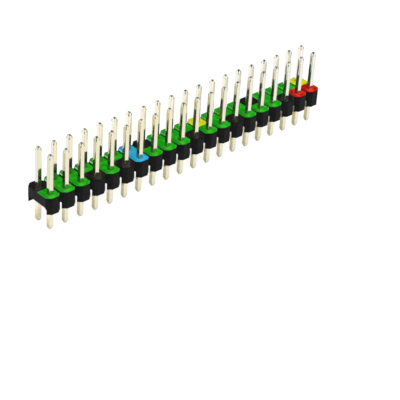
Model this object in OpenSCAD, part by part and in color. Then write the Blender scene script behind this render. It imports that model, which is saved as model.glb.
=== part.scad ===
// Double-row pin header strip with a colour-keyed top.
//
// X runs along the strip, with contacts 1 and 2 at the +X end. Even contacts stand in the row at -Y,
// odd ones in the row at +Y. Z is up along the contacts. The origin is the centre of the footprint,
// level with the ends of the solder tails.

/* [Contact grid] */
// Number of contact pairs along the strip
columns = 20; // [14:1:27]
// Distance between neighbouring contacts along the strip
pitch = 2.54; // [2.3:0.01:3.5]
// Distance between the two rows of contacts
row_pitch = 2.54; // [2.3:0.01:3.5]

/* [Contacts] */
// Width and depth of the square contact wire
pin_w = 0.64; // [0.5:0.01:0.8]
// Radius of the four long edges of the wire
pin_edge_r = 0.06; // [0.02:0.01:0.12]
// Length of a contact above the top of the housing
post_len = 6.0; // [4:0.1:12]
// Length of a solder tail below the feet of the housing
tail_len = 3.0; // [2.4:0.1:6]
// Length of the coined point at each end of a contact
point_len = 0.55; // [0.3:0.05:1]
// Width of a coined point half way along it
point_mid_w = 0.54; // [0.4:0.01:0.6]
// Width of the sheared flat at the end of a contact
point_end_w = 0.3; // [0.1:0.01:0.4]

/* [Housing] */
// Height of the housing from the underside of its feet to its top
housing_h = 2.5; // [2:0.01:4]
// Distance from the middle of a row of contacts to the nearer long side
side_margin = 1.23; // [1:0.01:2]
// Width of the flat outer side of a cell, between its cut corners
cell_flat = 1.1; // [0.6:0.01:1.8]
// Depth of the notch between two cells, from the long side inwards
notch_depth = 0.65; // [0.3:0.01:0.8]
// Plastic missing at each end, where the strip was snapped off a longer one
end_trim = 0.07; // [0:0.01:0.2]
// Gap between a contact and each wall of its hole
hole_clearance = 0; // [0:0.005:0.05]

/* [Snap grooves] */
// Width of the groove across the top between two cells
groove_w = 0.14; // [0.1:0.01:0.4]
// Depth of the groove across the top between two cells
groove_depth = 0.12; // [0.05:0.01:0.4]

/* [Feet and channel] */
// Height of the feet, which is also the depth of the channel between them
foot_h = 1.0; // [0.6:0.01:1.6]
// Thickness of a foot, from the long side to the channel
foot_t = 0.52; // [0.4:0.01:0.8]
// Width of the slot between two feet
slot_w = 0.32; // [0.2:0.01:0.6]
// Radius of the rounded upper corners of the channel
channel_r = 0.4; // [0.1:0.01:0.5]

/* [Printed fields] */
// Thickness of the printed ink
ink_t = 0.03; // [0.02:0.01:0.1]
// Bare margin between a printed field and the outline of its cell
ink_margin = 0.06; // [0.02:0.01:0.2]
// Bare margin between a printed field and the grooves at both sides of it
ink_side_margin = 0.02; // [0:0.01:0.1]
// Radius of the rounded corners of a printed field
ink_corner_r = 0.3; // [0.05:0.01:0.35]

/* [Hidden] */
// Sides of a full circle
$fn = 48;
// How far a cut runs past the face that it opens
cut = 1;
// Chords in one rounded corner of a printed field
corner_steps = 4;

// Contact numbers by the colour of their field. Those in none of the first four lists are green.
red_fields = [2, 4];
yellow_fields = [1, 17];
blue_fields = [27, 28];
bare_fields = [6, 9, 14, 20, 25, 30, 34, 39];

contacts = 2 * columns;
grid_len = columns * pitch;
housing_len = grid_len - 2 * end_trim;
housing_w = row_pitch + 2 * side_margin;
hole_w = pin_w + 2 * hole_clearance;

foot_z = tail_len;
top_z = foot_z + housing_h;
pin_len = top_z + post_len;

root_y = housing_w / 2 - notch_depth;
channel_w = housing_w - 2 * foot_t;

black = "#222022";
gold = "#ddd3ac";
green = "#0aa114";
red = "#dd1b1c";
yellow = "#c9cb1c";
blue = "#2ba0dc";

function two_digits(n) = str(n < 10 ? "0" : "", n);
function pin_name(n) = str("pin_", two_digits(n));
function is_even(n) = n % 2 == 0;
function has(list, n) = len([for (item = list) if (item == n) item]) > 0;

// Middle of the column that contact n stands in, counted from the +X end
function column_x(n) = grid_len / 2 - (ceil(n / 2) - 0.5) * pitch;
function row_y(n) = (is_even(n) ? -1 : 1) * row_pitch / 2;

all_contacts = [for (n = [1 : contacts]) n];
other_fields = concat(red_fields, yellow_fields, blue_fields, bare_fields);
green_fields = [for (n = all_contacts) if (!has(other_fields, n)) n];

// Plan of one cell at the origin: an oblong with its four corners cut off
module cell_plan() {
    polygon([
        [-pitch / 2, -root_y],
        [-cell_flat / 2, -housing_w / 2],
        [cell_flat / 2, -housing_w / 2],
        [pitch / 2, -root_y],
        [pitch / 2, root_y],
        [cell_flat / 2, housing_w / 2],
        [-cell_flat / 2, housing_w / 2],
        [-pitch / 2, root_y],
    ]);
}

// Moves its children to each column in turn
module each_column() {
    for (n = [1 : 2 : contacts]) {
        translate([column_x(n), 0, 0]) children();
    }
}

// Moves its children to each boundary between two columns
module each_boundary() {
    for (n = [1 : 2 : contacts - 2]) {
        translate([column_x(n) - pitch / 2, 0, 0]) children();
    }
}

// Section of the channel, open at the feet, with rounded upper corners
module channel_section() {
    translate([-channel_w / 2, -cut])
        square([channel_w, cut + foot_h - channel_r]);
    translate([channel_r - channel_w / 2, 0])
        square([channel_w - 2 * channel_r, foot_h]);
    for (side = [-1, 1]) {
        translate([side * (channel_w / 2 - channel_r), foot_h - channel_r])
            circle(r = channel_r);
    }
}

module channel() {
    translate([-housing_len / 2 - cut, 0, foot_z])
        rotate([90, 0, 90])
            linear_extrude(housing_len + 2 * cut)
                channel_section();
}

// Slot between two feet, right across the housing, with a rounded top
module foot_slot() {
    slot_r = slot_w / 2;
    translate([0, housing_w / 2 + cut, foot_z])
        rotate([90, 0, 0])
            linear_extrude(housing_w + 2 * cut) {
                translate([-slot_r, -cut])
                    square([slot_w, cut + foot_h - slot_r]);
                translate([0, foot_h - slot_r])
                    circle(r = slot_r);
            }
}

// V-shaped groove across the top, where the strip snaps apart
module snap_groove() {
    translate([0, housing_w / 2 + cut, top_z])
        rotate([90, 0, 0])
            linear_extrude(housing_w + 2 * cut)
                polygon([
                    [-groove_w / 2, 0],
                    [0, -groove_depth],
                    [groove_w / 2, 0],
                    [groove_w / 2, cut],
                    [-groove_w / 2, cut],
                ]);
}

// Square hole from the channel to the top
module contact_hole() {
    translate([-hole_w / 2, -hole_w / 2, foot_z])
        cube([hole_w, hole_w, housing_h + cut]);
}

// Plan of the whole housing: cells side by side, cut square at both ends
module housing_plan() {
    intersection() {
        each_column() cell_plan();
        square([housing_len, housing_w], center = true);
    }
}

module housing() {
    color(black)
        difference() {
            translate([0, 0, foot_z])
                linear_extrude(housing_h) housing_plan();
            channel();
            each_boundary() foot_slot();
            each_boundary() snap_groove();
            for (n = all_contacts) {
                translate([column_x(n), row_y(n), 0]) contact_hole();
            }
        }
}

// Side view of a contact, with a coined point at both ends
module contact_profile() {
    half = pin_w / 2;
    mid = point_mid_w / 2;
    end = point_end_w / 2;
    polygon([
        [-end, 0],
        [end, 0],
        [mid, point_len / 2],
        [half, point_len],
        [half, pin_len - point_len],
        [mid, pin_len - point_len / 2],
        [end, pin_len],
        [-end, pin_len],
        [-mid, pin_len - point_len / 2],
        [-half, pin_len - point_len],
        [-half, point_len],
        [-mid, point_len / 2],
    ]);
}

// Section of the wire: a square with rounded corners
module wire_section() {
    flat = pin_w - 2 * pin_edge_r;
    square([pin_w, flat], center = true);
    square([flat, pin_w], center = true);
    for (x = [-flat / 2, flat / 2], y = [-flat / 2, flat / 2]) {
        translate([x, y]) circle(r = pin_edge_r);
    }
}

// The same profile seen from the front and from the side gives a four-sided point
module contact() {
    intersection() {
        linear_extrude(pin_len) wire_section();
        translate([0, pin_w, 0])
            rotate([90, 0, 0])
                linear_extrude(2 * pin_w) contact_profile();
        translate([-pin_w, 0, 0])
            rotate([90, 0, 90])
                linear_extrude(2 * pin_w) contact_profile();
    }
}

module pin(n) {
    color(gold)
        translate([column_x(n), row_y(n), 0]) contact();
}

// Rounded corner of a field, from one heading of its outline to the next, counter-clockwise
function field_corner(centre, from, to) = [
    for (step = [0 : corner_steps])
        let (heading = from + (to - from) * step / corner_steps)
            centre + ink_corner_r * [sin(heading), -cos(heading)]
];

// Plan of the field of an even contact, with the middle of its column at the origin
module field_plan() {
    slant = atan2(notch_depth, (pitch - cell_flat) / 2);
    edge_x = pitch / 2 - groove_w / 2 - ink_side_margin;
    outer_y = housing_w / 2 - ink_margin;
    flat_x = cell_flat / 2 - ink_margin * tan(slant / 2);
    corner_y = outer_y - (edge_x - flat_x) * tan(slant);
    end_x = flat_x - ink_corner_r * tan(slant / 2);
    end_y = ink_corner_r - outer_y;
    side_x = edge_x - ink_corner_r;
    side_y = ink_corner_r * tan((90 - slant) / 2) - corner_y;
    difference() {
        polygon(concat(
            [[edge_x, 0], [-edge_x, 0]],
            field_corner([-side_x, side_y], -90, -slant),
            field_corner([-end_x, end_y], -slant, 0),
            field_corner([end_x, end_y], 0, slant),
            field_corner([side_x, side_y], slant, 90)
        ));
        translate([-hole_w / 2, -row_pitch / 2 - hole_w / 2])
            square([hole_w, hole_w]);
    }
}

// Printed skins on top of the cells of the listed contacts
module printed_fields(numbers) {
    translate([0, 0, top_z])
        linear_extrude(ink_t)
            for (n = numbers) {
                translate([column_x(n), 0])
                    mirror([0, is_even(n) ? 0 : 1]) field_plan();
            }
}

module print_green() {
    color(green) printed_fields(green_fields);
}

module print_red() {
    color(red) printed_fields(red_fields);
}

module print_yellow() {
    color(yellow) printed_fields(yellow_fields);
}

module print_blue() {
    color(blue) printed_fields(blue_fields);
}

housing();
print_green();
print_red();
print_yellow();
print_blue();
for (n = all_contacts) {
    pin(n);
}
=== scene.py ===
"""Looks of the double-row pin header strip: finishes, softened edges, studio and camera.

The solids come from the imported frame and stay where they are. The part's own frame is used throughout:
X along the strip, Z up along the contacts. Values named ..._MM, and all places and lengths inside the
finishes, are in millimetres. The rest is in metres and degrees.

A pair of values for between() says where a change begins and where it is complete.
"""
import math

import bpy
from mathutils import Matrix, Vector


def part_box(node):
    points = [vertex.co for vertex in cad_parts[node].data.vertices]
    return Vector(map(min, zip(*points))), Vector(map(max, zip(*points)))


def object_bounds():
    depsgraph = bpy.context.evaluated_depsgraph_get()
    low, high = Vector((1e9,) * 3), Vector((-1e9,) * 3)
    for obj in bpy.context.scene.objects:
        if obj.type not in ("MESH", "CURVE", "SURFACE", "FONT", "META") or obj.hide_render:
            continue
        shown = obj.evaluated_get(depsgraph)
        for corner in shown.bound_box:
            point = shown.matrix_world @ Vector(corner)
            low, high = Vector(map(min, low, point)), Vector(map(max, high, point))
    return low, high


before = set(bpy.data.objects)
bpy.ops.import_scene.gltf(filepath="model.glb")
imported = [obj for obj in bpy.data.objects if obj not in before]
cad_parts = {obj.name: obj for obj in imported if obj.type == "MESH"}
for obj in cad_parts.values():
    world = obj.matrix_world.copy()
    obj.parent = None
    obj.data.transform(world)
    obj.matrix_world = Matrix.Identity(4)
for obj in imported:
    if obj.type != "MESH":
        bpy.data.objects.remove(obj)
cad_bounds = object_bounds()

MM = 0.001
PITCH_MM = 2.54
WHITE = (1.0, 1.0, 1.0)
BLACK = (0.0, 0.0, 0.0)

# Camera: a long lens, looking down the strip from its -X end
AIM_MM = (-3.45, -8.10, 0.0)
DISTANCE_MM = 210.0
AZIMUTH = -44.03
ELEVATION = 33.32
ROLL = 4.134
LENS_MM = 137.09
CLIP_START = 0.01
CLIP_END = 10.0

# Lamps: name, azimuth, elevation, distance, size, and how bright each alone makes white paper facing it
LAMPS = (
    ("key", -20, 55, 0.6, 0.5, 0.44),
    ("fill", -80, 40, 0.6, 0.5, 0.14),
    ("top", 40, 75, 0.7, 0.6, 0.14),
)

# Floor: its size, its gap below the part, its paint, and how much plain white is mixed in when it is seen
# directly and when it is mirrored
FLOOR_SIZE = 4.0
FLOOR_GAP_MM = 0.01
FLOOR_PAINT = (0.97, 0.97, 0.97, 1.0)
FLOOR_WHITE = 1.1
WHITE_SHARE_SEEN = 0.85
WHITE_SHARE_MIRRORED = 0.35

# Sky: its light, and the dim ceiling that shows in reflections, from the height where it begins to where it
# is full. Rays with a glossy depth below FIRST_MIRROR come from the first mirroring surface
SKY_LEVEL = 0.5
CEILING = (0.16, 0.16, 0.16)
CEILING_EDGE = (0.26, 0.38)
FIRST_MIRROR = 1.5

# Softened edges: the gap that welding closes, the angle up to which faces count as one flat, and the angle
# from which an edge is rounded. Then each rounding's width in millimetres and its number of segments
WELD_MM = 0.001
FLAT_ANGLE = 0.5
EDGE_ANGLE = 30
HOUSING_EDGE = (0.05, 3)
INK_EDGE = (0.015, 3)
POINT_EDGE = (0.02, 2)

# Each noise is given as its scale and its detail, and each bump as its depth in millimetres and its
# strength. A noise's span is the part of its range over which a colour or a roughness changes
NOISE_SPAN = (0.35, 0.65)
# Specular level of plastic and ink
LOW_GLOSS = 0.08

# Black plastic: the Z of a face's normal from walls to level tops. Then the colours in the darkest and the
# lightest clouds, and the roughness of the smoothest and the roughest grain, on each of the two
WALL_TO_TOP = (0.9, 0.98)
# Painted shade: the walls get darker blacks than the level tops
SHADED_WALL_BLACKS = ((0.0045, 0.0045, 0.005), (0.009, 0.0086, 0.008))
TOP_BLACKS = ((0.0095, 0.0095, 0.0085), (0.0165, 0.0155, 0.0125))
WALL_ROUGHNESS = (0.35, 0.5)
TOP_ROUGHNESS = (0.02, 0.1)
CLOUDS = (0.9, 3.0)
GRAIN = (14.0, 4.0)
GRAIN_SPAN = (0.3, 0.7)
GRAIN_BUMP = (0.002, 0.4)

# Black plastic in shade: a strip of wall below the top edges, and the -X side of each top at -Y
SHADED_STRIP = (0.12, 0.06)
SHADED_BLACK = (0.001, 0.0012, 0.001)
FRONT_TOP_Y = (-1.4, -1.6)
DARK_SIDE_X = (-0.3, -0.6)
DARK_SIDE_SHARE = 0.75
DARK_SIDE_BLACK = (0.001, 0.001, 0.001)

# Painted reflection of the contact: a pale streak on each top at -Y, along the line column_x = STREAK_SLOPE
# * y + STREAK_OFFSET_MM
STREAK_SLOPE = 0.9
STREAK_OFFSET_MM = 1.54
STREAK_HALF_WIDTH = (0.28, 0.05)
STREAK_END_Y = (-2.3, -2.05)
STREAK_REFLECTION_GREY = (0.027, 0.031, 0.025)

# Each ink by its node: its material's name, its colour where thin, where pooled, in the painted highlight
# on its rim and in the painted shade round the contact, and how dark the painted shade makes it along its
# outer end
INKS = {
    "print_green": (
        "green_ink_finish",
        (0, 0.42, 0), (0.02, 0.55, 0.01), (0.14, 0.46, 0.13), (0.04, 0.2, 0.004),
        0.35,
    ),
    "print_red": (
        "red_ink_finish",
        (0.6, 0, 0), (0.98, 0.018, 0.006), (0.9, 0.1, 0.08), (0.45, 0.02, 0.005),
        0.2,
    ),
    "print_yellow": (
        "yellow_ink_finish",
        (0.72, 0.85, 0), (0.9, 0.92, 0), (0.85, 0.9, 0.2), (0.6, 0.62, 0.01),
        0.35,
    ),
    "print_blue": (
        "blue_ink_finish",
        (0.01, 0.47, 0.88), (0.065, 0.46, 0.75), (0.15, 0.5, 0.8), (0.04, 0.3, 0.5),
        0.9,
    ),
}

# Pools of ink: their depth from thin to full, which varies at random; painted shade that makes it grow
# towards +X, so that the -X side is darker; and painted light that makes it grow towards -X instead in the
# outer part of the fields at -Y, except along their -X side
POOLS = (1.1, 2.0)
POOL_DEPTH = (0.45, 0.75)
ACROSS_SHADE_X = (-1.0, 0.5)
ACROSS_SHADE_GAIN = (-0.02, 0.1)
FRONT_LIGHT_Y = (-1.4, -2.0)
FRONT_LIGHT_X = (-0.95, -0.5)
FRONT_LIGHT_SLOPE_X = (0.5, -0.5)
FRONT_LIGHT_GAIN = (-0.16, 0.2)

# Painted shade round each contact, and the yellow glow, painted light, that the contacts at -Y throw on it
# along part of the strip
CONTACT_SHADE_REACH = (0.6, 0.3)
CONTACT_SHADE_SHARE = 0.7
GLOW_Y = (-1.4, -1.65)
GLOW_X = (0.5, 0.1)
GLOW_ALONG = (-10.0, -3.0)
GLOW_SHARE = 0.06
GLOW_YELLOW = (1.0, 1.0, 0.3)

# Painted highlight: a pale rim of an ink along its cut corners and, fainter, along its outer end. It is
# palest on its +X side
RIM_MM = 0.17
RIM_INNER_SHARE = 0.4
END_RIM = (0.22, 0.08)
END_RIM_SHARE = 0.4
RIM_PALE_X = (-0.3, 0.3)
RIM_PALENESS = (0.2, 0.45)

# Painted highlight, white, along the -X side of a field: stronger in the row at +Y, and stronger near the
# -X end
SIDE_HIGHLIGHT_REACH = (0.27, 0.17)
SIDE_HIGHLIGHT_X = (0.1, -0.1)
SIDE_HIGHLIGHT_Y = (0.6, 1.2)
SIDE_HIGHLIGHT_Y_SHARE = (0.1, 1.0)
SIDE_HIGHLIGHT_ALONG = (-16.0, 0.0)
SIDE_HIGHLIGHT_ALONG_SHARE = (0.9, 0.3)
SIDE_HIGHLIGHT_WHITENESS = 0.4

# Painted shade where the fields at -Y slope down to their -X side and their -X corner
SLOPE_X = (0.0, -0.3)
SLOPE_Y = (0.3, -0.3)
SLOPE_SIDE = (0.55, 0.25)
SLOPE_SIDE_SHARE = 0.33
SLOPE_CORNER = (0.25, 0.03)
SLOPE_CORNER_SHARE = 0.35

# Painted shade that darkens the ink towards black: along the groove at +X, more so near the -X end, and
# along the end
GROOVE_SHADE_SIDE = (0.28, 0.05)
GROOVE_SHADE_ALONG = (-18.0, 4.0)
GROOVE_SHADE_SHARE = (0.96, 0.4)
END_SHADE = (0.18, 0.05)

# Line that cuts a field's outer corners: end = CORNER_CUT_MM - CORNER_SLOPE * side, in distances from the
# field's outer end and from its side
CORNER_SLOPE = 0.903
CORNER_CUT_MM = 0.59

# Painted shade in reflections: how much of an ink's colour is lost when it is seen in a contact: inside the
# rows and in front of them, seen from close by and from afar, and by way of a second contact
ROW_EDGE = (0.2, 0.5)
INNER_LOSS, OUTER_LOSS = 0.6, 0.3
CLOSE_TO_FAR_MM = (1.2, 2.4)
CLOSE_LOSS, FAR_LOSS = 0.3, 0.82
SECOND_MIRROR = (1.4, 1.6)
SECOND_LOSS = 0.85

# Surface of the ink: ripples, and the rounding towards its cut corners, whose height is counted in ripples
RIPPLE = (3.0, 2.0)
INK_ROUGHNESS = (0.12, 0.25)
INK_BUMP = (0.02, 0.5)
ROUNDING_HEIGHT = 2.0

# Gold of the contacts: the noise that tints it, where painted light turns it from warm at the -X end to
# pale, and its two tints in each. FACING is the size of a normal's X or Y from which a face counts as
# facing that way
TINT = (0.5, 1.0)
TINT_STRETCH = (1.0, 1.0, 0.08)
TINT_SPAN = (0.4, 0.6)
WARM_TO_PALE = (-5.0, 20.0)
WARM_GOLDS = ((0.85, 0.82, 0.6), (0.88, 0.81, 0.63))
PALE_GOLDS = ((0.82, 0.82, 0.73), (0.85, 0.82, 0.72))
FACING = (0.5, 0.9)

# Painted shade and reflection on the sides that face along the strip: those of the row at -Y, those of the
# row at +Y, and how each changes from the -X end on
BETWEEN_ROWS = (-0.5, 0.5)
FRONT_SIDES = ((0.76, 0.73, 0.56), (0.77, 0.76, 0.68))
FRONT_SIDES_ALONG = (-5.0, 10.0)
BACK_SIDES = ((0.86, 0.82, 0.67), (0.96, 0.92, 0.79))
BACK_SIDES_ALONG = (-22.0, -14.0)

# Painted highlight: a sheen on the -X part of the sides that face across the strip. The row at -Y has it
# near the +X end only
SHEENS = ((1.0, 0.97, 0.75), (1.0, 1.0, 0.92))
SHEEN_X = (0.15, -0.2)
SHEEN_ALONG = (-20.0, -4.0)
FRONT_SHEEN_ALONG = (2.0, 16.0)
FRONT_SHEEN_SHARE = (0.0, 0.4)

# Solder tails: how the gold turns over from posts to tails above the feet, and the colours of their sides
# and fronts from the top down to the point, darker downwards as painted shade and reflection
TAIL_ABOVE_FEET = (0.5, 0.0)
TAIL_SIDES = ((1.0, 0.95, 0.67), (0.85, 0.77, 0.46), (0.62, 0.54, 0.3))
TAIL_SIDE_STEPS_Z = ((2.2, 1.4), (1.2, 0.4))
TAIL_FRONTS = ((0.9, 0.87, 0.68), (0.83, 0.8, 0.61))
TAIL_FRONT_Z = (1.0, 0.3)
TAIL_POINT = (0.5, 0.44, 0.28)
TAIL_POINT_Z = (0.4, 0.05)

# Painted light and shade on the tops of the front tails' -X sides, which show through the slots between the
# feet: bright, and dim near the +X end
SLOT_TONES = ((1.0, 1.0, 0.97), (0.3, 0.29, 0.28))
SLOT_TONES_ALONG = (12.0, 20.0)
SLOT_Y = (-1.55, -1.4)
SLOT_BELOW_FEET = (0.75, 0.55)
FACING_MINUS_X = (-0.5, -0.9)

# Dents along the ridges of a coined point: their distance from a ridge and from the end of the contact,
# the part of the noise that makes them, and their colour
RIDGE_MM = (0.14, 0.05)
COINED_MM = (0.62, 0.5)
DENTS = (2.6, 1.0)
DENT_SPAN = (0.47, 0.54)
DENT_GREY = (0.12, 0.11, 0.08)

# Sheared ends: how level they are, how far they reach from the middle of a contact, the bare metal in its
# darkest and its lightest patches, and the roughness that it adds
SHEARED_LEVEL = (0.85, 0.97)
SHEARED_REACH = (0.15, 0.1)
BARE_PATCHES = (0.6, 0.0)
BARE_METALS = ((0.1, 0.07, 0.05), (0.9, 0.76, 0.6))
BARE_ROUGHNESS = 0.3

# Surface of the wire: long drawing marks, and slow waves
DRAWN = (16.0, 3.0)
DRAWN_STRETCH = (1.0, 1.0, 0.04)
DRAWN_ROUGHNESS = (0.05, 0.1)
DRAWN_BUMP = (0.002, 0.3)
WAVES = (0.35, 0.0)
WAVE_BUMP = (0.08, 1.0)


# ---------------------------------------------------------------- node helpers


def add(tree, kind, inputs=None, **settings):
    """Adds one node. An input is either a constant or the socket that feeds it."""
    node = tree.nodes.new(kind)
    for name, value in settings.items():
        setattr(node, name, value)
    for name, value in (inputs or {}).items():
        if isinstance(value, bpy.types.NodeSocket):
            tree.links.new(value, node.inputs[name])
        else:
            node.inputs[name].default_value = value
    return node


def calc(tree, operation, *values):
    return add(tree, "ShaderNodeMath", dict(enumerate(values)), operation=operation).outputs[0]


def absolute(tree, value):
    return calc(tree, "ABSOLUTE", value)


def product(tree, first, *others):
    """Several shares multiplied together."""
    for other in others:
        first = calc(tree, "MULTIPLY", first, other)
    return first


def between(tree, value, low, high, to_low=0.0, to_high=1.0):
    """Maps value from low..high to to_low..to_high, smoothly and clamped. Low may be the greater one."""
    inputs = {"Value": value, "From Min": low, "From Max": high, "To Min": to_low, "To Max": to_high}
    return add(tree, "ShaderNodeMapRange", inputs, interpolation_type="SMOOTHSTEP").outputs["Result"]


def mix(tree, factor, first, second):
    """Blends two colours. Their sockets go by number, because their names are shared."""
    node = add(tree, "ShaderNodeMix", data_type="RGBA")
    sockets = (node.inputs["Factor"], node.inputs[6], node.inputs[7])
    for socket, value in zip(sockets, (factor, first, second)):
        if isinstance(value, bpy.types.NodeSocket):
            tree.links.new(value, socket)
        else:
            socket.default_value = value if isinstance(value, float) else (*value, 1.0)
    return node.outputs[2]


def split(tree, vector):
    """X, Y and Z of a vector."""
    return add(tree, "ShaderNodeSeparateXYZ", {0: vector}).outputs


def stretched(tree, vector, scale):
    """A vector with each of its axes scaled by its own factor."""
    return add(tree, "ShaderNodeVectorMath", {0: vector, 1: scale}, operation="MULTIPLY").outputs[0]


def noise(tree, vector, scale, detail):
    inputs = {"Vector": vector, "Scale": scale, "Detail": detail}
    return add(tree, "ShaderNodeTexNoise", inputs).outputs["Fac"]


def bump(tree, height, depth_mm, strength, normal=None):
    inputs = {"Height": height, "Distance": depth_mm * MM, "Strength": strength}
    if normal:
        inputs["Normal"] = normal
    return add(tree, "ShaderNodeBump", inputs).outputs["Normal"]


def surface_normal(tree):
    """X, Y and Z of the direction that the surface faces."""
    return split(tree, add(tree, "ShaderNodeNewGeometry").outputs["Normal"])


def new_material(name, **constants):
    """A Principled material. Constants are set on the shader's own sockets."""
    material = bpy.data.materials.new(name)
    material.use_nodes = True
    tree = material.node_tree
    shader = tree.nodes["Principled BSDF"]
    for socket, value in constants.items():
        shader.inputs[socket.replace("_", " ")].default_value = value
    return material, tree, shader


def set_surface(tree, shader, colour, roughness, normal):
    tree.links.new(colour, shader.inputs["Base Color"])
    tree.links.new(roughness, shader.inputs["Roughness"])
    tree.links.new(normal, shader.inputs["Normal"])


class Spot:
    """The shaded place on the part, in millimetres.

    column_x is its signed distance along the strip from the middle of the nearest column, and row_offset
    its distance outwards from the middle of the nearest row.
    """

    def __init__(self, tree):
        in_metres = add(tree, "ShaderNodeTexCoord").outputs["Object"]
        self.place = stretched(tree, in_metres, (1 / MM,) * 3)
        self.x, self.y, self.z = split(tree, self.place)
        self.column_x = calc(tree, "SUBTRACT", calc(tree, "WRAP", self.x, PITCH_MM, 0.0), PITCH_MM / 2)
        self.row_offset = calc(tree, "SUBTRACT", absolute(tree, self.y), PITCH_MM / 2)


class FieldSpot(Spot):
    """The shaded place on a printed field, and its distances from the field's sides, end and cut corners.

    The two blue fields share one column, so their box gives the width and the outer end of every field.
    """

    def __init__(self, tree):
        super().__init__(tree)
        low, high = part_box("print_blue")
        self.half_width = (high.x - low.x) / 2 / MM
        self.side = calc(tree, "SUBTRACT", self.half_width, absolute(tree, self.column_x))
        self.end = calc(tree, "SUBTRACT", high.y / MM, absolute(tree, self.y))
        across = calc(tree, "SUBTRACT", self.end, CORNER_CUT_MM)
        across = calc(tree, "MULTIPLY_ADD", self.side, CORNER_SLOPE, across)
        self.corner = calc(tree, "DIVIDE", across, math.hypot(1.0, CORNER_SLOPE))


# ---------------------------------------------------------------- black plastic


def bare_top(tree, spot, clouds):
    """Colour of the tops. Those at -Y are darker on their -X side, which is painted shade, and paler along
    a streak, which is a painted reflection of the contact.
    """
    front = between(tree, spot.y, *FRONT_TOP_Y)
    # Painted shade on the -X side of the tops at -Y
    dark_side = between(tree, spot.column_x, *DARK_SIDE_X, 0.0, DARK_SIDE_SHARE)
    colour = mix(tree, product(tree, front, dark_side), mix(tree, clouds, *TOP_BLACKS), DARK_SIDE_BLACK)
    # Painted reflection of the contact, as a pale streak on the tops at -Y
    from_line = calc(tree, "SUBTRACT", spot.column_x, STREAK_OFFSET_MM)
    from_line = absolute(tree, calc(tree, "MULTIPLY_ADD", spot.y, -STREAK_SLOPE, from_line))
    on_line = between(tree, from_line, *STREAK_HALF_WIDTH)
    streak = product(tree, on_line, between(tree, spot.y, *STREAK_END_Y))
    return mix(tree, product(tree, front, streak), colour, STREAK_REFLECTION_GREY)


def black_plastic(top_z):
    """Moulded black plastic, clouded and grained. Painted shade makes its walls darker than its tops, and
    blackest in the grooves and just below the top edges.
    """
    material, tree, shader = new_material("black_plastic_finish", Specular_IOR_Level=LOW_GLOSS)
    spot = Spot(tree)
    clouds = between(tree, noise(tree, spot.place, *CLOUDS), *NOISE_SPAN)
    grain = noise(tree, spot.place, *GRAIN)
    facing_up = surface_normal(tree)[2]
    # Painted shade: walls darker than the level tops
    wall = mix(tree, clouds, *SHADED_WALL_BLACKS)
    colour = mix(tree, between(tree, facing_up, *WALL_TO_TOP), wall, bare_top(tree, spot, clouds))
    # Painted shade in the grooves and on the walls just below the top edges
    below_top = calc(tree, "SUBTRACT", top_z / MM, spot.z)
    shaded = between(tree, below_top, *SHADED_STRIP)
    shaded = product(tree, between(tree, facing_up, *reversed(WALL_TO_TOP)), shaded)
    colour = mix(tree, shaded, colour, SHADED_BLACK)
    smoothest, roughest = (
        between(tree, facing_up, *WALL_TO_TOP, wall_value, top_value)
        for wall_value, top_value in zip(WALL_ROUGHNESS, TOP_ROUGHNESS)
    )
    roughness = between(tree, grain, *GRAIN_SPAN, smoothest, roughest)
    set_surface(tree, shader, colour, roughness, bump(tree, grain, *GRAIN_BUMP))
    return material


# ---------------------------------------------------------------- ink


def ink_depth_and_painted_light(tree, spot):
    """How deep the ink has pooled, from 0 to 1, with painted shade and light across each field."""
    pools = noise(tree, spot.place, *POOLS)
    # Painted shade: the ink is darker towards the -X side of each field
    depth = calc(tree, "ADD", pools, between(tree, spot.column_x, *ACROSS_SHADE_X, *ACROSS_SHADE_GAIN))
    # Painted light in front of the contacts at -Y
    front = between(tree, spot.y, *FRONT_LIGHT_Y)
    front = product(tree, front, between(tree, spot.column_x, *FRONT_LIGHT_X))
    front_light_gain = between(tree, spot.column_x, *FRONT_LIGHT_SLOPE_X, *FRONT_LIGHT_GAIN)
    depth = calc(tree, "MULTIPLY_ADD", front, front_light_gain, depth)
    return between(tree, depth, *POOL_DEPTH)


def with_contact_shade(tree, spot, body, full, contact_shade):
    """The ink's body with painted shade round the contact and the painted light that the contact throws on
    it.
    """
    # Painted light that the contacts at -Y throw on the ink
    glow = product(
        tree,
        between(tree, spot.y, *GLOW_Y),
        between(tree, spot.column_x, *GLOW_X),
        between(tree, spot.x, *GLOW_ALONG),
    )
    near_contact = mix(tree, glow, contact_shade, mix(tree, GLOW_SHARE, full, GLOW_YELLOW))
    # Painted shade round each contact
    from_contact = calc(tree, "MAXIMUM", absolute(tree, spot.column_x), absolute(tree, spot.row_offset))
    return mix(tree, between(tree, from_contact, *CONTACT_SHADE_REACH, 0.0, CONTACT_SHADE_SHARE), body, near_contact)


def rim_highlight_share(tree, spot):
    """How much of the painted highlight on the rim shows."""
    edge = between(tree, spot.corner, RIM_MM, RIM_INNER_SHARE * RIM_MM)
    edge = calc(tree, "MAXIMUM", edge, between(tree, spot.end, *END_RIM, 0.0, END_RIM_SHARE))
    return product(tree, edge, between(tree, spot.column_x, *RIM_PALE_X, *RIM_PALENESS))


def side_highlight_share(tree, spot):
    """How much of the painted highlight along the -X side shows."""
    return product(
        tree,
        between(tree, spot.side, *SIDE_HIGHLIGHT_REACH),
        between(tree, spot.column_x, *SIDE_HIGHLIGHT_X),
        between(tree, spot.y, *SIDE_HIGHLIGHT_Y, *SIDE_HIGHLIGHT_Y_SHARE),
        between(tree, spot.x, *SIDE_HIGHLIGHT_ALONG, *SIDE_HIGHLIGHT_ALONG_SHARE),
    )


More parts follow.
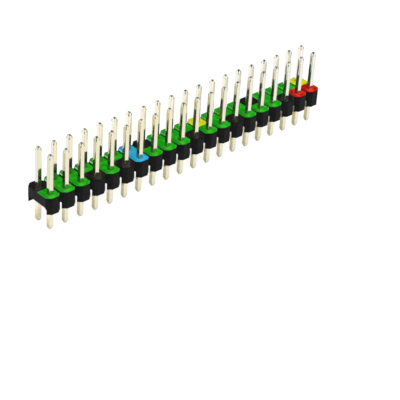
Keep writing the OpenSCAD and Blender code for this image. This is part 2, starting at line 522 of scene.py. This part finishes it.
def slope_share(tree, spot):
    """How much painted shade lies on the slopes down to the -X side and the -X corner."""
    near_side = between(tree, spot.side, *SLOPE_SIDE, 0.0, SLOPE_SIDE_SHARE)
    near_corner = between(tree, spot.corner, *SLOPE_CORNER, 0.0, SLOPE_CORNER_SHARE)
    leaning = product(tree, between(tree, spot.column_x, *SLOPE_X), between(tree, spot.y, *SLOPE_Y))
    return product(tree, calc(tree, "MAXIMUM", near_side, near_corner), leaning)


def groove_and_end_shade_share(tree, spot, shade_at_end):
    """How much painted shade darkens the ink towards black along the groove and the end."""
    start, full = (spot.half_width - inset for inset in GROOVE_SHADE_SIDE)
    groove_shade = between(tree, spot.column_x, start, full)
    groove_shade = product(tree, groove_shade, between(tree, spot.x, *GROOVE_SHADE_ALONG, *GROOVE_SHADE_SHARE))
    return calc(tree, "MAXIMUM", groove_shade, between(tree, spot.end, *END_SHADE, 0.0, shade_at_end))


def painted_mirror_shade(tree, spot):
    """The share of an ink's colour that is lost, as painted shade, in a contact that mirrors it, and 0 when
    seen directly.
    """
    path = add(tree, "ShaderNodeLightPath").outputs
    by_place = between(tree, spot.row_offset, *ROW_EDGE, INNER_LOSS, OUTER_LOSS)
    close, far = (length * MM for length in CLOSE_TO_FAR_MM)
    by_length = between(tree, path["Ray Length"], close, far, CLOSE_LOSS, FAR_LOSS)
    by_contacts = between(tree, path["Glossy Depth"], *SECOND_MIRROR, 0.0, SECOND_LOSS)
    loss = calc(tree, "MAXIMUM", calc(tree, "MAXIMUM", by_place, by_length), by_contacts)
    return product(tree, path["Is Glossy Ray"], loss)


def ink(name, thin, full, rim_highlight, contact_shade, shade_at_end):
    """Thick glossy ink. It pools and rounds off to a rim with a painted highlight, and has painted shade
    round each contact.
    """
    material, tree, shader = new_material(name, Specular_IOR_Level=LOW_GLOSS)
    spot = FieldSpot(tree)
    # Random pools of ink, with painted shade and light across each field
    colour = mix(tree, ink_depth_and_painted_light(tree, spot), thin, full)
    # Painted shade round each contact, and painted light in front of it
    colour = with_contact_shade(tree, spot, colour, full, contact_shade)
    # Painted highlight on the rim
    colour = mix(tree, rim_highlight_share(tree, spot), colour, rim_highlight)
    # Painted highlight along the -X side of the field
    colour = mix(tree, side_highlight_share(tree, spot), colour, mix(tree, SIDE_HIGHLIGHT_WHITENESS, full, WHITE))
    # Painted shade: the slopes, the groove and the end, and the ink's reflections in the contacts, darkened
    # towards black
    for share in (slope_share(tree, spot), groove_and_end_shade_share(tree, spot, shade_at_end), painted_mirror_shade(tree, spot)):
        colour = mix(tree, share, colour, BLACK)
    ripple = noise(tree, spot.place, *RIPPLE)
    roughness = between(tree, ripple, *NOISE_SPAN, *INK_ROUGHNESS)
    rounding = calc(tree, "MULTIPLY", between(tree, spot.corner, 0.0, RIM_MM), ROUNDING_HEIGHT)
    height = calc(tree, "ADD", rounding, ripple)
    set_surface(tree, shader, colour, roughness, bump(tree, height, *INK_BUMP))
    return material


# ---------------------------------------------------------------- plated contacts


def post_gold(tree, spot, facing_along, facing_across):
    """Gold above the feet. Painted light makes it warm near the -X end and paler towards +X, with painted
    shade and reflection on the sides along the strip and a painted sheen.
    """
    tint = noise(tree, stretched(tree, spot.place, TINT_STRETCH), *TINT)
    tint = between(tree, tint, *TINT_SPAN)
    # Painted light: warm near the -X end, paler towards +X
    paler = between(tree, spot.x, *WARM_TO_PALE)
    gold = mix(tree, paler, mix(tree, tint, *WARM_GOLDS), mix(tree, tint, *PALE_GOLDS))
    # Painted shade and reflection on the sides that face along the strip
    front_side = mix(tree, between(tree, spot.x, *FRONT_SIDES_ALONG), *FRONT_SIDES)
    back_side = mix(tree, between(tree, spot.x, *BACK_SIDES_ALONG), *BACK_SIDES)
    side = mix(tree, between(tree, spot.y, *BETWEEN_ROWS), front_side, back_side)
    gold = mix(tree, facing_along, gold, side)
    # Painted highlight: a sheen on the -X part of the sides that face across the strip
    front_share = between(tree, spot.x, *FRONT_SHEEN_ALONG, *FRONT_SHEEN_SHARE)
    sheen = product(
        tree,
        between(tree, spot.column_x, *SHEEN_X),
        between(tree, spot.x, *SHEEN_ALONG),
        between(tree, spot.y, *BETWEEN_ROWS, front_share, 1.0),
        facing_across,
    )
    return mix(tree, sheen, gold, mix(tree, paler, *SHEENS))


def tail_gold(tree, spot, facing_along, facing_x, foot_mm):
    """Gold below the feet, with painted shade and reflection: yellower and darker downwards on the sides
    that face along the strip, darker downwards on the fronts, and darkest at the point.
    """
    # Painted shade and reflection: the sides turn darker and yellower downwards
    side = TAIL_SIDES[0]
    for step, darker in zip(TAIL_SIDE_STEPS_Z, TAIL_SIDES[1:]):
        side = mix(tree, between(tree, spot.z, *step), side, darker)
    top, full = (foot_mm - depth for depth in SLOT_BELOW_FEET)
    # Painted light and shade where the tails show through the slots
    behind_slot = product(
        tree,
        between(tree, spot.z, top, full),
        between(tree, spot.y, *SLOT_Y),
        between(tree, spot.y, *reversed(BETWEEN_ROWS)),
        between(tree, facing_x, *FACING_MINUS_X),
    )
    side = mix(tree, behind_slot, side, mix(tree, between(tree, spot.x, *SLOT_TONES_ALONG), *SLOT_TONES))
    # Painted shade: the fronts darken downwards
    front = mix(tree, between(tree, spot.z, *TAIL_FRONT_Z), *TAIL_FRONTS)
    tail = mix(tree, facing_along, front, side)
    return mix(tree, between(tree, spot.z, *TAIL_POINT_Z), tail, TAIL_POINT)


def coining_marks(tree, spot, end_mm):
    """1 on the dull dents that the die leaves along the ridges of a coined point, else 0."""
    out_x = absolute(tree, spot.column_x)
    out_y = absolute(tree, spot.row_offset)
    from_ridge = absolute(tree, calc(tree, "SUBTRACT", out_x, out_y))
    below_end = calc(tree, "SUBTRACT", end_mm, spot.z)
    return product(
        tree,
        between(tree, from_ridge, *RIDGE_MM),
        between(tree, below_end, *COINED_MM),
        between(tree, noise(tree, spot.place, *DENTS), *DENT_SPAN),
    )


def plated_contact(foot_z, end_z):
    """Thin pale gold over drawn wire, yellower on the solder tails as painted shade and reflection. Sheared
    ends show the bare metal.
    """
    material, tree, shader = new_material("plated_contact_finish", Metallic=1.0)
    spot = Spot(tree)
    normal = surface_normal(tree)
    facing_along, facing_across = (between(tree, absolute(tree, part), *FACING) for part in normal[:2])
    foot_mm = foot_z / MM
    tail_start, tail_full = (foot_mm + height for height in TAIL_ABOVE_FEET)
    post = post_gold(tree, spot, facing_along, facing_across)
    tail = tail_gold(tree, spot, facing_along, normal[0], foot_mm)
    gold = mix(tree, between(tree, spot.z, tail_start, tail_full), post, tail)
    gold = mix(tree, coining_marks(tree, spot, end_z / MM), gold, DENT_GREY)
    from_middle = calc(tree, "MAXIMUM", absolute(tree, spot.column_x), absolute(tree, spot.row_offset))
    level = between(tree, absolute(tree, normal[2]), *SHEARED_LEVEL)
    sheared = product(tree, level, between(tree, from_middle, *SHEARED_REACH))
    bare = mix(tree, between(tree, noise(tree, spot.place, *BARE_PATCHES), *NOISE_SPAN), *BARE_METALS)
    colour = mix(tree, sheared, gold, bare)
    drawn = noise(tree, stretched(tree, spot.place, DRAWN_STRETCH), *DRAWN)
    smooth = between(tree, drawn, *NOISE_SPAN, *DRAWN_ROUGHNESS)
    roughness = calc(tree, "MULTIPLY_ADD", sheared, BARE_ROUGHNESS, smooth)
    wavy = bump(tree, noise(tree, spot.place, *WAVES), *WAVE_BUMP)
    set_surface(tree, shader, colour, roughness, bump(tree, drawn, *DRAWN_BUMP, wavy))
    return material


# ---------------------------------------------------------------- softened edges


def welded_group():
    """Merges corners that coincide, and shades the mesh smooth."""
    group = bpy.data.node_groups.new("welded", "GeometryNodeTree")
    group.interface.new_socket("Geometry", in_out="INPUT", socket_type="NodeSocketGeometry")
    group.interface.new_socket("Geometry", in_out="OUTPUT", socket_type="NodeSocketGeometry")
    inputs = {"Geometry": add(group, "NodeGroupInput").outputs[0], "Distance": WELD_MM * MM}
    welded = add(group, "GeometryNodeMergeByDistance", inputs).outputs[0]
    faces = add(group, "GeometryNodeSetShadeSmooth", {0: welded}).outputs[0]
    edges = add(group, "GeometryNodeSetShadeSmooth", {0: faces}, domain="EDGE").outputs[0]
    add(group, "NodeGroupOutput", {0: edges})
    return group


def soften(node, group, width_mm, segments):
    """Rounds the sharp edges of a node, with modifiers only, and merges the slivers that this leaves."""
    node.modifiers.new("weld", "NODES").node_group = group
    merged = node.modifiers.new("whole_faces", "DECIMATE")
    merged.decimate_type = "DISSOLVE"
    merged.angle_limit = math.radians(FLAT_ANGLE)
    bevel = node.modifiers.new("rounded_edges", "BEVEL")
    bevel.width = width_mm * MM
    bevel.segments = segments
    bevel.limit_method = "ANGLE"
    bevel.angle_limit = math.radians(EDGE_ANGLE)
    bevel.use_clamp_overlap = False
    node.modifiers.new("no_slivers", "NODES").node_group = group
    normals = node.modifiers.new("flat_faces", "WEIGHTED_NORMAL")
    normals.keep_sharp = False


# ---------------------------------------------------------------- studio


def make_world():
    """A soft white sky for light. Seen directly it is white, and first reflections of its top are dim."""
    world = bpy.data.worlds.new("studio")
    bpy.context.scene.world = world
    world.use_nodes = True
    tree = world.node_tree
    light = tree.nodes["Background"]
    light.inputs["Color"].default_value = (*WHITE, 1.0)
    light.inputs["Strength"].default_value = SKY_LEVEL
    height = split(tree, add(tree, "ShaderNodeTexCoord").outputs["Generated"])[2]
    path = add(tree, "ShaderNodeLightPath").outputs
    once = calc(tree, "LESS_THAN", path["Glossy Depth"], FIRST_MIRROR)
    dimmed = product(tree, path["Is Glossy Ray"], once, between(tree, height, *CEILING_EDGE))
    shade = mix(tree, dimmed, WHITE, CEILING)
    backdrop = add(tree, "ShaderNodeBackground", {"Color": shade, "Strength": 1.0})
    seen = calc(tree, "MAXIMUM", path["Is Camera Ray"], path["Is Glossy Ray"])
    seen = calc(tree, "MAXIMUM", seen, path["Is Transmission Ray"])
    shown = add(tree, "ShaderNodeMixShader", {0: seen, 1: light.outputs[0], 2: backdrop.outputs[0]})
    tree.links.new(shown.outputs[0], tree.nodes["World Output"].inputs["Surface"])


def white_table():
    """White paint that keeps shadows, with plain white mixed in where it is seen or mirrored."""
    material = bpy.data.materials.new("white_table")
    material.use_nodes = True
    tree = material.node_tree
    tree.nodes.remove(tree.nodes["Principled BSDF"])
    paint = add(tree, "ShaderNodeBsdfDiffuse", {"Color": FLOOR_PAINT})
    white = add(tree, "ShaderNodeEmission", {"Color": (*WHITE, 1.0), "Strength": FLOOR_WHITE})
    path = add(tree, "ShaderNodeLightPath").outputs
    seen = calc(tree, "MAXIMUM", path["Is Camera Ray"], path["Is Transmission Ray"])
    seen = calc(tree, "MULTIPLY", seen, WHITE_SHARE_SEEN)
    mirrored = calc(tree, "MULTIPLY", path["Is Glossy Ray"], WHITE_SHARE_MIRRORED)
    share = calc(tree, "MAXIMUM", seen, mirrored)
    surface = add(tree, "ShaderNodeMixShader", {0: share, 1: paint.outputs[0], 2: white.outputs[0]})
    tree.links.new(surface.outputs[0], tree.nodes["Material Output"].inputs["Surface"])
    return material


def make_floor():
    """A table top just under the ends of the solder tails."""
    half = FLOOR_SIZE / 2
    corners = [(-half, -half, 0), (half, -half, 0), (half, half, 0), (-half, half, 0)]
    mesh = bpy.data.meshes.new("floor")
    mesh.from_pydata(corners, [], [(0, 1, 2, 3)])
    mesh.materials.append(white_table())
    floor = bpy.data.objects.new("floor", mesh)
    floor.location.z = cad_bounds[0].z - FLOOR_GAP_MM * MM
    bpy.context.scene.collection.objects.link(floor)


def direction(azimuth, elevation):
    """Unit vector towards a place round the part. Azimuth 0 is in front, at -Y, and -90 at -X."""
    a = math.radians(azimuth)
    e = math.radians(elevation)
    return Vector((math.sin(a) * math.cos(e), -math.cos(a) * math.cos(e), math.sin(e)))


def softbox(name, azimuth, elevation, distance, size, level):
    """A square lamp aimed at the middle of the strip."""
    lamp = bpy.data.lights.new(name, "AREA")
    lamp.size = size
    lamp.energy = level * (math.pi * distance) ** 2
    box = bpy.data.objects.new(name, lamp)
    back = direction(azimuth, elevation)
    box.location = back * distance
    box.rotation_mode = "QUATERNION"
    box.rotation_quaternion = back.to_track_quat("Z", "Y")
    bpy.context.scene.collection.objects.link(box)


def make_camera():
    back = direction(AZIMUTH, ELEVATION)
    turn = back.to_track_quat("Z", "Y").to_matrix() @ Matrix.Rotation(math.radians(ROLL), 3, "Z")
    data = bpy.data.cameras.new("camera")
    data.lens = LENS_MM
    data.clip_start = CLIP_START
    data.clip_end = CLIP_END
    camera = bpy.data.objects.new("camera", data)
    camera.matrix_world = Matrix.Translation(Vector(AIM_MM) * MM + back * DISTANCE_MM * MM) @ turn.to_4x4()
    bpy.context.scene.collection.objects.link(camera)
    bpy.context.scene.camera = camera


# ---------------------------------------------------------------- dressing


def dress(node, material, group, width_mm, segments):
    """Puts a finish in a CAD node's slots and rounds its edges."""
    for slot in node.material_slots:
        slot.material = material
    soften(node, group, width_mm, segments)


def dress_part():
    foot_z, top_z = (corner.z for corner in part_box("housing"))
    group = welded_group()
    inks = {name: ink(*looks) for name, looks in INKS.items()}
    plastic = black_plastic(top_z)
    contact = plated_contact(foot_z, cad_bounds[1].z)
    for name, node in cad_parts.items():
        if name == "housing":
            dress(node, plastic, group, *HOUSING_EDGE)
        elif name in inks:
            dress(node, inks[name], group, *INK_EDGE)
        else:
            dress(node, contact, group, *POINT_EDGE)


bpy.context.scene.view_settings.view_transform = "Standard"
make_world()
make_floor()
for lamp in LAMPS:
    softbox(*lamp)
make_camera()
dress_part()
